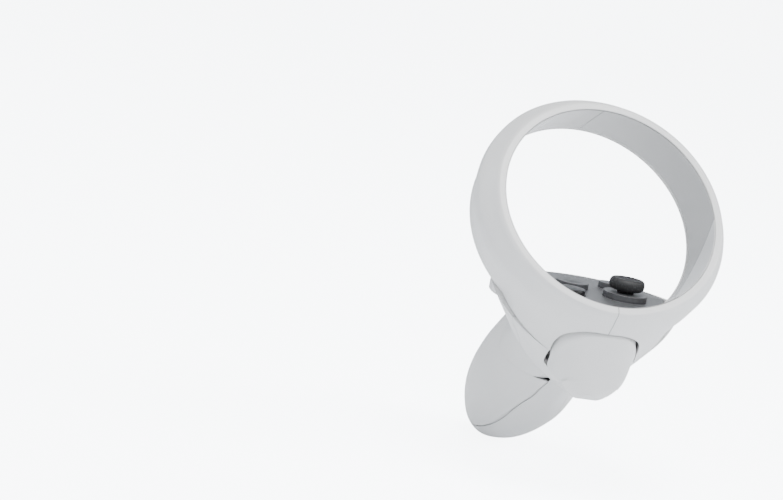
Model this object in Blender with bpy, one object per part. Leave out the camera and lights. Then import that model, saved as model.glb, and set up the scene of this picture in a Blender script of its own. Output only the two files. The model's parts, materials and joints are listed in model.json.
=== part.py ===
"""Left-hand VR motion controller: tracking ring, control plate, trigger, grip button and battery handle.

World frame: metres, +Z up and square to the control plate, +Y forward, +X to the user's right. The origin is
below the middle of the object, at the height of its lowest point.

Three local frames hold the shapes, in millimetres:
  ring frame   x right, v up the ring's front plane, w back along the ring's and the handle's axis
  plate frame  x right, y forward, z up, from the centre of the control plate's top face
  handle frame the ring frame swung about v, so that w runs down the middle of the canted handle
"""
import math

import bmesh
import bpy
import numpy as np
from mathutils import Matrix, Vector

MM = 0.001
GAP = 0.3                       # clearance between pieces that touch
WALL = 1.8                      # wall of the moulded shells

# Placing of the frames
RING_CENTRE = (0.0, 28.3, 95.78)  # centre of the ring's front rim in the world, mm
LEAN = math.radians(41.0)       # how far the ring leans back from upright
PLATE_DROP = 30.0               # control plate's top face below the ring centre
PLATE_SETBACK = 8.0             # control plate's centre behind the ring centre
HANDLE_AXIS = (-3.4, 50.0)      # where the handle's axis is at one depth (x, w)
HANDLE_CANT = math.radians(6.9)  # the handle's axis swings this far to the right of the ring's

# Ring
OVAL = 1.033                    # the ring is this much taller than it is wide
RIM_INNER = 36.0
RIM_OUTER = 38.5
BAND_TAPER = 0.0307             # growth of the inner radius per mm of depth
BORE_RISE = 0.301               # rise of the ring's bore per mm of depth
OUTSIDE = ((0.0, 38.9), (2.9, 40.2), (5.9, 41.8), (8.8, 42.75), (11.7, 42.7), (14.7, 42.2), (17.6, 41.6),
           (20.5, 41.0), (23.5, 40.55), (25.0, 40.35))  # outer half width at each depth
RING_DEPTH = 25.0
BAND_THICK = 1.2
BAND_EDGE = 0.6                 # the band thins to this at its rear edge
BAND_END = 23.4
FOOT_SWELL = 0.25               # swelling of the ring's foot per degree below FOOT_FROM, at full depth
FOOT_FROM = 42.0
FOOT_START = 8.0                # depth at which the swelling starts
RING_STEPS = 60

# Control plate
PLATE_RADIUS = 29.2
PLATE_THICK = 2.0
RIM_RADIUS = 32.0               # white rim round the plate
RIM_DROP = 1.3                  # height lost over the rim's chamfer
RIM_HEIGHT = 4.8
STICK_AT = (-11.5, 4.9)
STICK_HOLE = 7.0
CAP_RADIUS = 5.9
UPPER_BUTTON_AT = (4.0, -4.4)
LOWER_BUTTON_AT = (8.4, 8.2)
MENU_BUTTON_AT = (-11.2, -12.1)
BUTTON_RADIUS = 4.8
MENU_RADIUS = 2.6
BOARD_DEPTH = 9.5               # board's top face below the plate's top face
BOSSES = ((-12.2, -18.4), (12.2, -18.4), (-16.8, -6.3), (16.8, -6.3))

# Body: head and handle stations along w: half width, top, bottom, sharpness of the lower half, middle in x
BODY_MID = -16.5
BODY = (
    (25.3, 33.5, 9.0, -47.2, 1.6, 0.0), (30.0, 30.9, 9.0, -48.8, 1.55, 0.0), (34.0, 28.7, 9.0, -49.5, 1.5, -0.2),
    (36.5, 27.3, 8.6, -49.7, 1.5, -0.4), (39.5, 25.4, 7.4, -49.0, 1.6, -0.7), (41.5, 24.1, 5.8, -46.6, 1.65, -1.0),
    (43.0, 23.0, 4.6, -42.0, 1.65, -1.2), (44.8, 21.6, 3.5, -36.6, 1.6, -1.5), (50.0, 18.8, 2.0, -36.6, 1.55, -2.2),
    (56.0, 17.2, 2.4, -37.3, 1.5, -2.5), (66.0, 16.2, 3.5, -38.3, 1.6, -1.45), (76.0, 15.9, 4.0, -38.0, 2.1, -0.25),
    (86.0, 15.5, 3.8, -37.2, 2.5, 1.0), (96.0, 14.5, 2.7, -35.8, 2.5, 2.2), (104.0, 12.9, 0.8, -33.8, 2.5, 3.2),
    (110.0, 10.9, -1.9, -31.2, 2.4, 3.9), (114.0, 8.6, -5.1, -28.2, 2.2, 4.4), (116.4, 5.9, -9.0, -24.6, 2.0, 4.7),
    (117.5, 2.6, -13.6, -20.4, 2.0, 4.8),
)
FRONT_SEAM = ((20.0, -30.6), (25.4, -31.0), (36.7, -32.4), (43.9, -34.0), (58.3, -35.0), (71.6, -35.7),
              (82.0, -35.7), (92.2, -34.5), (102.5, -31.4), (109.8, -26.7), (115.0, -21.0), (123.0, -10.0))
COVER_SPLIT = 54.6              # head shell ends and battery cover starts

# Grip button outline in (v, w), its hinge along the first edge
GRIP = ((-34.0, 44.6), (-11.6, 55.0), (-10.7, 59.5), (-11.9, 64.2), (-16.1, 67.6), (-20.7, 67.6),
        (-31.0, 61.6), (-34.3, 58.1))
GRIP_STAND = math.radians(7.0)  # rest angle of the button, standing proud
GRIP_HINGE = ((5.8, -29.0, 47.6), (10.4, -12.8, 56.2))  # pin line under the button's front edge

# Trigger
TRIGGER_WIDTH = 13.8            # half width
TRIGGER_PIN = (-38.4, 19.5)
TRIGGER_FRONT = ((-39.0, 10.4), (-42.5, 10.7), (-43.8, 13.2), (-46.4, 18.5), (-49.6, 23.9), (-52.3, 27.2),
                 (-54.0, 29.2))

CELL_RADIUS = 7.25
CELL_LENGTH = 49.0
CELL_FRONT = 60.8
CELL_V = -17.0

collection = None
cutters = None


# ---------------------------------------------------------------- frames and helpers
def ring_frame():
    sine, cosine = math.sin(LEAN), math.cos(LEAN)
    turn = Matrix(((1, 0, 0), (0, -sine, -cosine), (0, cosine, -sine))).to_4x4()
    return Matrix.Translation(Vector(RING_CENTRE) * MM) @ turn


def plate_frame():
    x, y, z = RING_CENTRE
    return Matrix.Translation(Vector((x, y - PLATE_SETBACK, z - PLATE_DROP)) * MM)


def handle_frame():
    x, w = HANDLE_AXIS
    swing = Matrix.Translation(Vector((x, 0, w)) * MM) @ Matrix.Rotation(HANDLE_CANT, 4, "Y")
    return ring_frame() @ swing @ Matrix.Translation(Vector((0, 0, -w)) * MM)


RING = ring_frame()
PLATE = plate_frame()
HANDLE = handle_frame()


def material(name, colour, roughness, metallic=0.0):
    made = bpy.data.materials.get(name) or bpy.data.materials.new(name)
    made.use_nodes = True
    shader = made.node_tree.nodes["Principled BSDF"]
    shader.inputs["Base Color"].default_value = (*colour, 1.0)
    shader.inputs["Roughness"].default_value = roughness
    shader.inputs["Metallic"].default_value = metallic
    return made


WHITE = ("white_shell", (0.78, 0.78, 0.77), 0.45)
GREY = ("grey_band", (0.32, 0.33, 0.33), 0.25)
DARK = ("plate_grey", (0.075, 0.075, 0.08), 0.45)
RUBBER = ("black_rubber", (0.012, 0.012, 0.013), 0.6)
BLACK = ("black_plastic", (0.02, 0.02, 0.022), 0.3)
GREEN = ("board_green", (0.02, 0.16, 0.07), 0.4)
AMBER = ("flex_amber", (0.45, 0.22, 0.04), 0.4)
STEEL = ("steel", (0.6, 0.6, 0.6), 0.3, 1.0)
ALLOY = ("magnet_grey", (0.35, 0.35, 0.36), 0.35, 1.0)
NYLON = ("nylon", (0.45, 0.45, 0.44), 0.5)
CELL = ("cell_wrap", (0.08, 0.1, 0.12), 0.35)


def new_object(name, mesh, frame, finish=None, cutter=False):
    obj = bpy.data.objects.new(name, mesh)
    (cutters if cutter else collection).objects.link(obj)
    obj.matrix_world = frame
    if finish:
        mesh.materials.append(material(*finish))
    if cutter:
        obj.hide_render = True
        obj.display_type = "WIRE"
    return obj


def mesh_from(bm, name):
    bmesh.ops.recalc_face_normals(bm, faces=bm.faces)
    mesh = bpy.data.meshes.new(name)
    bm.to_mesh(mesh)
    bm.free()
    mesh.shade_smooth()
    mesh.set_sharp_from_angle(angle=math.radians(32))
    return mesh


def loft(name, sections, closed=False):
    """Skin a run of equal closed sections (mm points); closed joins the last section to the first."""
    bm = bmesh.new()
    rings = [[bm.verts.new(Vector(p) * MM) for p in section] for section in sections]
    pairs = list(zip(rings, rings[1:])) + ([(rings[-1], rings[0])] if closed else [])
    for first, second in pairs:
        for i in range(len(first)):
            j = (i + 1) % len(first)
            bm.faces.new((first[i], first[j], second[j], second[i]))
    if not closed:
        bm.faces.new(rings[0])
        bm.faces.new(rings[-1])
    return mesh_from(bm, name)


def box(name, low, high):
    bm = bmesh.new()
    bmesh.ops.create_cube(bm, size=1.0)
    size = [(b - a) * MM for a, b in zip(low, high)]
    middle = [(a + b) / 2 * MM for a, b in zip(low, high)]
    bmesh.ops.scale(bm, vec=size, verts=bm.verts)
    bmesh.ops.translate(bm, vec=middle, verts=bm.verts)
    return mesh_from(bm, name)


def prism(name, outline, low, high, axis="x"):
    """A flat outline swept along one axis. The outline's pair are the other two coordinates, in order."""
    place = {"x": lambda a, b, t: (t, a, b), "y": lambda a, b, t: (a, t, b), "z": lambda a, b, t: (a, b, t)}[axis]
    return loft(name, [[place(a, b, t) for a, b in outline] for t in (low, high)])


def turned(name, profile, at=(0.0, 0.0, 0.0), axis="z", sides=32):
    """A closed outline of (radius, height) turned round an axis through at. Points on the axis are merged."""
    swap = {"z": lambda x, y, z: (x, y, z), "x": lambda x, y, z: (z, x, y), "y": lambda x, y, z: (y, z, x)}[axis]
    sections = []
    for i in range(sides):
        angle = 2 * math.pi * i / sides
        section = [swap(r * math.cos(angle), r * math.sin(angle), h) for r, h in profile]
        sections.append([tuple(a + b for a, b in zip(p, at)) for p in section])
    bm = bmesh.new()
    rings = [[bm.verts.new(Vector(p) * MM) for p in section] for section in sections]
    for i, first in enumerate(rings):
        second = rings[(i + 1) % sides]
        for j in range(len(profile)):
            k = (j + 1) % len(profile)
            if profile[j][0] < 1e-9 and profile[k][0] < 1e-9:
                continue
            bm.faces.new((first[j], first[k], second[k], second[j]))
    bmesh.ops.remove_doubles(bm, verts=bm.verts, dist=1e-7)
    return mesh_from(bm, name)


def rod(radius, low, high):
    """Outline of a plain solid rod for turned()."""
    return ((0.0, low), (radius, low), (radius, high), (0.0, high))


def boolean(obj, operation, mesh, frame):
    tool = new_object(f"{operation.lower()}_{mesh.name}", mesh, frame, cutter=True)
    step = obj.modifiers.new(tool.name, "BOOLEAN")
    step.operation = operation
    step.solver = "EXACT"
    step.object = tool
    return step


def coil(name, radius, wire, turns, length, frame, finish, lead=0.0):
    """A wound spring along its frame's z axis, as a thin bevelled curve."""
    curve = bpy.data.curves.new(name, "CURVE")
    curve.dimensions = "3D"
    curve.bevel_depth = wire / 2 * MM
    curve.bevel_resolution = 1
    curve.use_fill_caps = True
    steps = round(9 * turns)
    spline = curve.splines.new("POLY")
    points = []
    for i in range(steps + 1):
        angle = 2 * math.pi * turns * i / steps
        points.append((radius * math.cos(angle), radius * math.sin(angle), length * i / steps))
    if lead:
        points.insert(0, (points[0][0], points[0][1] - lead, points[0][2]))
    spline.points.add(len(points) - 1)
    for point, place in zip(spline.points, points):
        point.co = (*(c * MM for c in place), 1.0)
    curve.materials.append(material(*finish))
    obj = bpy.data.objects.new(name, curve)
    collection.objects.link(obj)
    obj.matrix_world = frame
    return obj


# ---------------------------------------------------------------- ring
def ring_radius(w):
    """Outer half width of the barrel-shaped ring at depth w."""
    table = np.array(OUTSIDE)
    return float(np.interp(w, table[:, 0], table[:, 1]))


def shell_rise(w):
    """Rise of the ring's outer surface at depth w."""
    return 0.3 * w - 0.004 * w * w


def bore_radius(w):
    return RIM_INNER + BAND_TAPER * w


def foot_bulge(angle, w):
    """Swelling of the ring's foot towards the trigger housing. The angle is 0 at +x and -90 degrees at the foot."""
    below = math.degrees(math.asin(max(-math.sin(angle), -1.0)))
    along = min(max((w - FOOT_START) / (RING_DEPTH - FOOT_START), 0.0), 1.0) ** 1.2
    return FOOT_SWELL * max(below - FOOT_FROM, 0.0) * along


def ring_point(angle, radius, w, rise):
    return (radius * math.cos(angle), radius * OVAL * math.sin(angle) + rise, w)


def ring_shell():
    outer = [(w, ring_radius(w)) for w in (0.7, 2.9, 5.9, 8.8, 11.7, 14.7, 17.6, 20.5, 23.5)]
    inner = [(w, ring_radius(w) - WALL) for w in (18.0, 13.0, 9.0, 5.9)]
    sections = []
    for i in range(RING_STEPS):
        angle = 2 * math.pi * i / RING_STEPS
        under = min(max((-math.sin(angle) - 0.70) / 0.08, 0.0), 1.0)
        section = [ring_point(angle, RIM_INNER + 0.5, 0.0, 0.0), ring_point(angle, RIM_OUTER, 0.0, 0.0)]
        for w, radius in outer:
            section.append(ring_point(angle, radius + foot_bulge(angle, w), w, shell_rise(w)))
        swell = foot_bulge(angle, RING_DEPTH)
        edge = ring_point(angle, ring_radius(RING_DEPTH) - 0.2 + swell, RING_DEPTH, shell_rise(RING_DEPTH))
        bore = ring_point(angle, bore_radius(RING_DEPTH), RING_DEPTH, BORE_RISE * RING_DEPTH)
        open_lip = ring_point(angle, ring_radius(RING_DEPTH) - WALL + swell, RING_DEPTH, shell_rise(RING_DEPTH))
        lip = [a + (b - a) * under for a, b in zip(bore, open_lip)]
        stop = BAND_END + GAP
        behind = ring_point(angle, bore_radius(stop) + BAND_EDGE + 0.2, stop, BORE_RISE * stop)
        deep = (open_lip[0], open_lip[1], stop - 0.5)
        section += [edge, lip, (lip[0], lip[1], stop)]
        section.append([a + (b - a) * under for a, b in zip(behind, deep)])
        for w, radius in inner:
            section.append(ring_point(angle, radius + foot_bulge(angle, w), w, shell_rise(w)))
        section.append(ring_point(angle, bore_radius(3.0) + BAND_THICK + GAP, 3.0, BORE_RISE * 3.0))
        section.append(ring_point(angle, RIM_INNER + 0.5, 1.6, BORE_RISE * 1.6))
        sections.append(section)
    shell = new_object("ring_shell", loft("ring_shell", sections, closed=True), RING, WHITE)
    opening = [(TRIGGER_WIDTH + 0.7, 40.0), (-TRIGGER_WIDTH - 0.7, 40.0)]
    opening += trigger_plan(TRIGGER_WIDTH + 0.7, 9.6, 25.0, 2.6)
    cut = loft("trigger_opening", [[(x, v, w) for x, w in opening] for v in (-64, -38)])
    boolean(shell, "DIFFERENCE", cut, RING)


def ring_inner_band():
    """Inner face of the ring, cut short where the control plate meets it."""
    sections = []
    for i in range(RING_STEPS):
        angle = 2 * math.pi * i / RING_STEPS
        section = []
        for w, thick in ((0.3, 0.0), (BAND_END, 0.0), (BAND_END, BAND_EDGE), (17.0, BAND_THICK), (3.4, BAND_THICK),
                         (2.4, 0.25), (0.3, 0.25)):
            radius = bore_radius(w) + thick
            section.append(ring_point(angle, radius, w, BORE_RISE * w))
        sections.append(section)
    band = new_object("ring_inner_band", loft("ring_inner_band", sections, closed=True), RING, GREY)
    boolean(band, "DIFFERENCE", box("under_plate", (-60, -60, -60), (60, 60, GAP)), PLATE)


def led_strip():
    """Flexible strip behind the inner band, with one raised emitter every 24 degrees."""
    sections = []
    steps = 70
    first, last = math.radians(-28), math.radians(208)
    for i in range(steps + 1):
        angle = first + (last - first) * i / steps
        raised = 0.9 if i % 7 in (3, 4) else 0.0
        section = []
        top = 38.5 + raised
        for w, radius in ((6.5, 38.2), (14.5, 38.2), (14.5, 38.5), (12.5, top), (9.0, top), (6.5, 38.5)):
            section.append(ring_point(angle, radius, w, 0.29 * w))
        sections.append(section)
    new_object("led_strip", loft("led_strip", sections), RING, AMBER)


# ---------------------------------------------------------------- head and handle
def body_values(w):
    table = np.array(BODY)
    return [float(np.interp(w, table[:, 0], table[:, i])) for i in range(1, 6)]


def body_section(w, inset=0.0, points=36):
    """Closed outline of the head and handle at depth w, inset by a wall."""
    near = [body_values(w + shift) for shift in (-inset, 0.0, inset)]
    half = min(n[0] for n in near) - inset
    top = min(n[1] for n in near) - inset
    bottom = max(n[2] for n in near) + inset
    sharp, middle = near[1][3:]
    mid = min(max(BODY_MID, bottom + 1.0), top - 1.0)
    section = []
    for i in range(points):
        angle = 2 * math.pi * i / points
        cosine, sine = math.cos(angle), math.sin(angle)
        power = 2.0 / (2.2 if sine > 0 else sharp)
        height = (top - mid) if sine > 0 else (mid - bottom)
        x = middle + half * math.copysign(abs(cosine) ** power, cosine)
        section.append((x, mid + height * math.copysign(abs(sine) ** power, sine), w))
    return section


def body_solid(name, inset=0.0, start=25.3, end=117.5):
    stops = [start] + [row[0] for row in BODY if start < row[0] < end] + [end]
    return loft(name, [body_section(w, inset) for w in stops])


def body_hollow(name):
    return body_solid(name, WALL, 20.0, 114.4)


def above_seam(low, high, shift):
    """Outline in (v, w) of everything above the long front seam, between two depths."""
    table = np.array(FRONT_SEAM)
    stops = [low] + [w for w, _ in FRONT_SEAM if low < w < high] + [high]
    seam = [(float(np.interp(w, table[:, 0], table[:, 1])) + shift, w) for w in stops]
    return seam + [(60.0, high), (60.0, low)]


def below_seam(low, high, shift):
    seam = above_seam(low, high, shift)[:-2]
    return seam + [(-70.0, high), (-70.0, low)]


def grown(outline, amount):
    """The outline moved outward from its middle by about amount mm on every side."""
    middle = [sum(p[i] for p in outline) / len(outline) for i in (0, 1)]
    moved = []
    for point in outline:
        away = [point[i] - middle[i] for i in (0, 1)]
        length = math.hypot(*away)
        moved.append(tuple(middle[i] + away[i] * (1 + amount / length) for i in (0, 1)))
    return moved


def grip_pocket(obj, name):
    """Opening for the grip button, running down to the long front seam."""
    outline = grown(GRIP, 0.7)
    outline += [(outline[corner][0] - 4.0, outline[corner][1]) for corner in (-1, 0)]
    boolean(obj, "DIFFERENCE", prism(name, outline, -1.2, 41.0), RING)


def head_shell():
    head = new_object("head_shell", body_solid("head_shell", end=COVER_SPLIT + 1.0), RING, WHITE)
    boolean(head, "INTERSECT", prism("head_region", above_seam(24.0, COVER_SPLIT, GAP / 2), -50, 50), RING)
    grip_pocket(head, "grip_pocket_head")
    above = 0.2
    crest = PLATE_RADIUS + GAP - above * (RIM_RADIUS - PLATE_RADIUS - GAP) / RIM_DROP
    rim = ((PLATE_RADIUS - 3.0, -RIM_HEIGHT), (RIM_RADIUS, -RIM_HEIGHT), (RIM_RADIUS, -RIM_DROP), (crest, above),
           (PLATE_RADIUS - 3.0, above))
    boolean(head, "UNION", turned("plate_rim", rim, sides=60), PLATE)
    boolean(head, "DIFFERENCE", box("ring_side", (-60, -70, -40), (60, 80, 25.25)), RING)
    boolean(head, "DIFFERENCE", box("above_plate", (-60, -60, 0), (60, 60, 60)), PLATE)
    boolean(head, "DIFFERENCE", body_hollow("head_hollow"), RING)
    seat = turned("plate_seat", rod(PLATE_RADIUS + GAP, -PLATE_THICK - 0.4, 5.0), sides=60)
    boolean(head, "DIFFERENCE", seat, PLATE)


def front_housing():
    """Chin behind the trigger and the front strip of the handle, one moulding below the long seam."""
    housing = new_object("front_housing", body_solid("front_housing"), RING, WHITE)
    boolean(housing, "INTERSECT", prism("front_region", below_seam(24.0, 121.0, -GAP / 2), -50, 50), RING)
    boolean(housing, "DIFFERENCE", body_hollow("front_hollow"), RING)
    slot = [(TRIGGER_WIDTH + 0.7, 20.0), (TRIGGER_WIDTH + 0.7, 31.5), (TRIGGER_WIDTH - 1.6, 34.8),
            (1.6 - TRIGGER_WIDTH, 34.8), (-TRIGGER_WIDTH - 0.7, 31.5), (-TRIGGER_WIDTH - 0.7, 20.0)]
    boolean(housing, "DIFFERENCE", prism("trigger_slot", slot, -60, -37, axis="y"), RING)
    boolean(housing, "DIFFERENCE", box("strap_notch", (-2.5, -34.0, 110.6), (2.5, -16.0, 122)), HANDLE)


def battery_cover():
    cover = new_object("battery_cover", body_solid("battery_cover", start=50.0), RING, WHITE)
    boolean(cover, "INTERSECT", prism("cover_region", above_seam(COVER_SPLIT + GAP, 121.0, GAP / 2), -50, 50), RING)
    grip_pocket(cover, "grip_pocket_cover")
    boolean(cover, "DIFFERENCE", body_hollow("cover_hollow"), RING)


def strap_bar():
    pin = turned("strap_bar", rod(0.8, -2.2, 2.2), at=(0.0, -26.6, 112.6), axis="x", sides=16)
    new_object("strap_bar", pin, HANDLE, STEEL)


# ---------------------------------------------------------------- control plate and what is under it
def face_plate():
    disc = turned("face_plate", rod(PLATE_RADIUS, -PLATE_THICK, 0.0), sides=64)
    plate = new_object("face_plate", disc, PLATE, DARK)
    sections = []
    for w in (-12.0, 60.0):
        radius = bore_radius(w) - 0.35
        sections.append([ring_point(2 * math.pi * i / 64, radius, w, BORE_RISE * w) for i in range(64)])
    boolean(plate, "INTERSECT", loft("ring_bore", sections), RING)
    boolean(plate, "DIFFERENCE", box("rim_front", (-60, -70, -60), (60, 60, 0.35)), RING)
    for i, (x, y) in enumerate(BOSSES):
        post = turned(f"boss_{i}", rod(2.3, -BOARD_DEPTH + GAP, -PLATE_THICK + 0.5), at=(x, y, 0.0), sides=16)
        boolean(plate, "UNION", post, PLATE)
        bore = turned(f"boss_bore_{i}", rod(1.35, -BOARD_DEPTH - 1, -PLATE_THICK - 0.5), at=(x, y, 0.0), sides=16)
        boolean(plate, "DIFFERENCE", bore, PLATE)
    holes = [(STICK_AT, STICK_HOLE), (UPPER_BUTTON_AT, BUTTON_RADIUS + 0.35), (LOWER_BUTTON_AT, BUTTON_RADIUS + 0.35),
             (MENU_BUTTON_AT, MENU_RADIUS + 0.35)]
    for i, ((x, y), radius) in enumerate(holes):
        hole = turned(f"plate_hole_{i}", rod(radius, -5.0, 2.0), at=(x, y, 0.0), sides=32)
        boolean(plate, "DIFFERENCE", hole, PLATE)


def button(name, at, radius, height):
    """Domed cap that stands through the plate, with a flange that stops it from falling out."""
    profile = [(0.0, -3.6), (radius + 0.9, -3.6), (radius + 0.9, -2.9), (radius, -2.9), (radius, height - 0.8)]
    for step in (30, 60, 90):
        angle = math.radians(step)
        profile.append((radius * math.cos(angle), height - 0.8 + 0.8 * math.sin(angle)))
    profile[-1] = (0.0, height)
    new_object(name, turned(name, profile, at=(*at, 0.0), sides=32), PLATE, BLACK)


def button_pad():
    """Silicone sheet with a dome under each button, lying on the board."""
    sheet = box("button_pad", (-13.8, -15.7, -BOARD_DEPTH + GAP), (12.6, -1.4, -BOARD_DEPTH + 1.1))
    pad = new_object("button_pad", sheet, PLATE, NYLON)
    for i, (at, radius) in enumerate(((UPPER_BUTTON_AT, 3.2), (MENU_BUTTON_AT, 2.2))):
        dome = ((0.0, -BOARD_DEPTH + 0.8), (radius, -BOARD_DEPTH + 0.8), (radius * 0.55, -4.5), (0.0, -4.5))
        boolean(pad, "UNION", turned(f"dome_{i}", dome, at=(*at, 0.0), sides=20), PLATE)


def lower_dome():
    dome = ((0.0, -6.0), (3.2, -6.0), (3.2, -5.4), (1.7, -4.5), (0.0, -4.5))
    new_object("lower_dome", turned("lower_dome", dome, at=(*LOWER_BUTTON_AT, 0.0), sides=20), PLATE, NYLON)


def main_board():
    outline = [(19.2, -2.5), (18.8, -10.5), (14.6, -20.4), (-14.6, -20.4), (-18.8, -10.5), (-19.2, -2.5)]
    slab = prism("main_board", outline, -BOARD_DEPTH - 1.2, -BOARD_DEPTH, axis="z")
    board = new_object("main_board", slab, PLATE, GREEN)
    for i, (x, y) in enumerate(BOSSES):
        hole = turned(f"board_hole_{i}", rod(1.4, -20, 0), at=(x, y, 0.0), sides=16)
        boolean(board, "DIFFERENCE", hole, PLATE)
    chip = box("chip", (-5.0, -17.0, -BOARD_DEPTH - 2.4), (5.0, -7.0, -BOARD_DEPTH - 1.0))
    boolean(board, "UNION", chip, PLATE)


def board_screws():
    for i, (x, y) in enumerate(BOSSES):
        top = -BOARD_DEPTH - 1.2 - GAP
        profile = ((0.0, top - 1.2), (1.5, top - 1.2), (1.9, top - 0.8), (1.9, top), (1.0, top), (1.0, -3.4),
                   (0.0, -3.0))
        name = f"board_screw_{i + 1}"
        new_object(name, turned(name, profile, at=(x, y, 0.0), sides=16), PLATE, STEEL)


def thumbstick():
    """Cap with a hollow skirt dome, the gimbal bow under it and the fixed housing round both."""
    x, y = STICK_AT
    profile = [(0.0, -2.4), (1.7, -2.4), (1.7, 2.6), (5.2, 3.0), (CAP_RADIUS - 0.2, 3.8), (CAP_RADIUS, 4.9),
               (CAP_RADIUS - 0.3, 6.0), (5.0, 6.9), (3.0, 6.5), (0.0, 6.3)]
    new_object("stick_cap", turned("stick_cap", profile, at=(x, y, 0.0), sides=40), PLATE, RUBBER)
    dome = ((0.0, -5.6), (2.6, -5.6), (2.6, -4.9), (2.0, -4.7), (1.7, -3.65), (1.0, -2.97), (0.0, -2.7))
    bow = new_object("stick_gimbal", turned("stick_gimbal", dome, at=(x, y, 0.0), sides=20), PLATE, NYLON)
    axle = turned("gimbal_axle", rod(0.8, -4.7, 4.7), at=(x, y, -4.7), axis="x", sides=12)
    boolean(bow, "UNION", axle, PLATE)
    block = box("stick_cradle", (x - 5.0, y - 4.1, -7.0), (x + 5.0, y + 4.1, -4.0))
    cradle = new_object("stick_cradle", block, PLATE, NYLON)
    boolean(cradle, "DIFFERENCE", box("cradle_room", (x - 3.4, y - 3.4, -9.0), (x + 3.4, y + 3.4, 0.0)), PLATE)
    boolean(cradle, "DIFFERENCE", turned("cradle_bore", rod(1.1, -9, 9), at=(x, y, -4.7), axis="x", sides=12), PLATE)
    case = box("stick_housing", (x - 6.0, y - 6.0, -8.4), (x + 6.0, y + 6.0, -2.4))
    housing = new_object("stick_housing", case, PLATE, BLACK)
    boolean(housing, "DIFFERENCE", box("gimbal_room", (x - 5.3, y - 4.4, -7.8), (x + 5.3, y + 4.4, 0.0)), PLATE)


def haptic_motor():
    motor = turned("haptic_motor", rod(4.6, -5.5, 5.5), at=(-4.2, -23.5, 51.0), axis="x", sides=28)
    new_object("haptic_motor", motor, RING, STEEL)


# ---------------------------------------------------------------- trigger
def trigger_plan(half, front, back, power, points=14):
    """Plan outline (x, w) of a rounded front, from -half to +half. A larger power makes it squarer."""
    outline = []
    for i in range(points + 1):
        angle = math.pi * (1 - i / points)
        cosine, sine = math.cos(angle), math.sin(angle)
        x = half * math.copysign(abs(cosine) ** (2 / power), cosine)
        outline.append((x, back - (back - front) * abs(sine) ** (2 / power)))
    return outline


def trigger_section(v, inset):
    table = np.array(TRIGGER_FRONT)
    front = float(np.interp(-v, -table[:, 0], table[:, 1])) + inset
    down = min(max((-v - 42.0) / (12.5 - inset), 0.0), 0.999)
    half = (TRIGGER_WIDTH - inset) * (1 - down ** 2.1) ** (1 / 2.1)
    depth = min(15.5, 6.0 + half)
    back = max(front + 2.0, min(29.9, front + depth) if v > -51 else front + 3.0)
    outline = trigger_plan(half, front, min(front + depth, back), 2.5 - 0.6 * down)
    return [(x, v, w) for x, w in outline + [(half, back + 0.2), (-half, back + 0.2)]]


def trigger():
    levels = (-39.0, -40.5, -42.3, -44.0, -45.7, -47.3, -48.9, -50.5, -52.0, -53.3, -54.2)
    blade = new_object("trigger", loft("trigger", [trigger_section(v, 0.0) for v in levels]), RING, WHITE)
    levels = (-36.0, -40.5, -42.3, -44.0, -45.7, -47.3, -48.9)
    room = []
    for level in levels:
        outline = trigger_section(level, 2.2)
        room.append(outline[:-2] + [(x, v, w + 9.0) for x, v, w in outline[-2:]])
    boolean(blade, "DIFFERENCE", loft("trigger_room", room), RING)
    v, w = TRIGGER_PIN
    for side in (-1, 1):
        low, high = sorted((side * 8.9, side * 11.1))
        boolean(blade, "UNION", box(f"ear_{side}", (low, v - 3.2, w - 3.0), (high, v + 2.4, w + 3.0)), RING)
    boolean(blade, "DIFFERENCE", turned("pin_bore", rod(1.4, -20, 20), at=(0.0, v, w), axis="x", sides=20), RING)


def trigger_parts():
    v, w = TRIGGER_PIN
    pin = turned("trigger_pin", rod(1.0, -11.2, 11.2), at=(0.0, v, w), axis="x", sides=16)
    new_object("trigger_pin", pin, RING, STEEL)
    block = box("trigger_bracket", (-8.0, v - 2.2, w - 1.9), (8.0, v + 3.4, w + 2.8))
    bracket = new_object("trigger_bracket", block, RING, NYLON)
    boolean(bracket, "DIFFERENCE", box("bracket_gap", (-6.4, v - 5.0, w - 5.0), (6.4, v + 2.5, w + 5.0)), RING)
    boolean(bracket, "DIFFERENCE", turned("bracket_bore", rod(1.35, -20, 20), at=(0.0, v, w), axis="x", sides=20), RING)
    turn = RING @ Matrix.Translation(Vector((-4.0, v, w)) * MM) @ Matrix.Rotation(math.pi / 2, 4, "Y")
    coil("trigger_spring", 1.85, 0.5, 6, 5.5, turn, STEEL)
    magnet = turned("trigger_magnet", rod(1.5, -1.0, 1.0), at=(0.0, v - 8.2, w + 4.6), axis="x", sides=16)
    new_object("trigger_magnet", magnet, RING, ALLOY)


# ---------------------------------------------------------------- grip button
def grip_hinge():
    """A point on the grip button's hinge and its direction, in the ring frame (mm)."""
    low, high = (Vector(point) for point in GRIP_HINGE)
    return low, (high - low).normalized()


def grip_button():
    base, along = grip_hinge()
    swing = Matrix.Translation(base * MM) @ Matrix.Rotation(GRIP_STAND, 4, along) @ Matrix.Translation(-base * MM)
    cap = new_object("grip_button", prism("grip_button", GRIP, 2.6, 40.0), RING, WHITE)
    boolean(cap, "INTERSECT", body_solid("grip_skin"), RING @ swing)
    room = boolean(cap, "DIFFERENCE", prism("grip_room", grown(GRIP, -1.9), 0.0, 40.0), RING)
    boolean(room.object, "INTERSECT", body_solid("grip_inside", 2.0), RING @ swing)
    boolean(cap, "DIFFERENCE", body_solid("grip_depth", 5.4), RING @ swing)
    boolean(cap, "UNION", turned("grip_barrel", rod(2.0, 4.0, 18.0), sides=16), hinge_frame())
    boolean(cap, "DIFFERENCE", turned("grip_bore", rod(1.25, -30, 60), sides=16), hinge_frame())


def hinge_frame():
    """The grip hinge's frame: z runs along the pin from the button's front corner."""
    base, along = grip_hinge()
    side = along.orthogonal().normalized()
    turn = Matrix((side, along.cross(side), along)).transposed().to_4x4()
    return RING @ Matrix.Translation(base * MM) @ turn


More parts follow.
